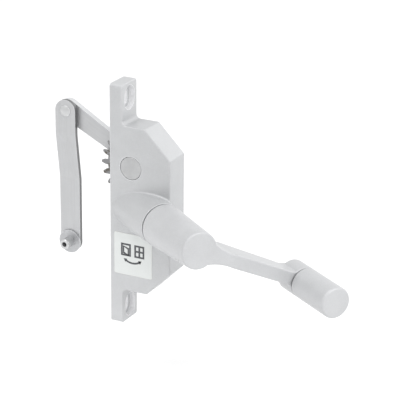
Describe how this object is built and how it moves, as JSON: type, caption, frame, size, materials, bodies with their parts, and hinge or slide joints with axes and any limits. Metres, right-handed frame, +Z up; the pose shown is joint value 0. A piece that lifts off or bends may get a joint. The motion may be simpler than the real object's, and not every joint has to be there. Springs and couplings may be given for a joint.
{
  "type": "window sash crank operator",
  "caption": "Surface-mounted worm-gear window operator: a crank handle turns a worm that swings an arm and link to push a sash.",
  "frame": {"origin": "centre of the two mounting slots, on the back face of the flange", "axes": "+Z up along the flange, +Y out of the back face towards the window, -Y towards the room, +X towards the side away from the crank boss"},
  "size_m": [0.091, 0.2112, 0.165],
  "materials": {
    "cast_grey": "satin silver-grey coating on a zinc casting",
    "handle_grey": "satin silver-grey coating on a zinc casting",
    "knob_grey": "satin silver-grey coating",
    "arm_steel": "bright plated strip",
    "gear_steel": "cut steel, lightly greased",
    "pin_steel": "plated, turned",
    "zinc_sheet": "zinc plated",
    "screw_steel": "plated",
    "bronze": "sintered bronze",
    "seal_felt": "dark oiled felt",
    "nylon": "dark nylon",
    "label_film": null
  },
  "bodies": {
    "frame": {"housing": "cast_grey", "back_cover": "zinc_sheet", "cover_screws": "screw_steel", "pivot_pin": "pin_steel", "wheel_spacers": "zinc_sheet", "front_bush": "bronze", "rear_bush": "bronze", "boss_ring": "screw_steel", "boss_seal": "seal_felt", "label": "label_film"},
    "crank": {"crank_shaft": "pin_steel", "worm": "gear_steel", "spacer_sleeve": "screw_steel", "thrust_washers": "bronze", "crank_handle": "handle_grey", "set_screw": "screw_steel", "knob_pin": "pin_steel", "knob_washer": "nylon"},
    "grip": {"knob": "knob_grey", "knob_clip": "screw_steel"},
    "arm": {"worm_wheel": "gear_steel", "swing_arm": "arm_steel", "wheel_bush": "bronze", "arm_rivets": "pin_steel", "link_rivet": "pin_steel", "link_washer": "zinc_sheet"},
    "sash_link": {"link": "arm_steel", "sash_stud": "pin_steel", "stud_washer": "zinc_sheet"}
  },
  "joints": [
    {"name": "crank_turn", "type": "hinge", "parent": "frame", "child": "crank", "pos_m": [-0.002, -0.0153, -0.00184], "axis": [-0.5592, -0.829, 0], "range_deg": [-1480, 240]},
    {"name": "arm_swing", "type": "hinge", "parent": "frame", "child": "arm", "pos_m": [0, -0.0153, 0.0276], "axis": [1, 0, 0], "range_deg": [-74, 12]},
    {"name": "link_swing", "type": "hinge", "parent": "arm", "child": "sash_link", "pos_m": [0, 0.03766, 0.05623], "axis": [1, 0, 0], "range_deg": [-12, 74]},
    {"name": "knob_spin", "type": "hinge", "parent": "crank", "child": "grip", "pos_m": [0.01355, -0.13001, -0.03776], "axis": [-0.5592, -0.829, 0], "continuous": true}
  ],
  "couplings": [
    {"joint": "arm_swing", "follows": "crank_turn", "ratio": 0.05},
    {"joint": "link_swing", "follows": "crank_turn", "ratio": -0.05}
  ]
}
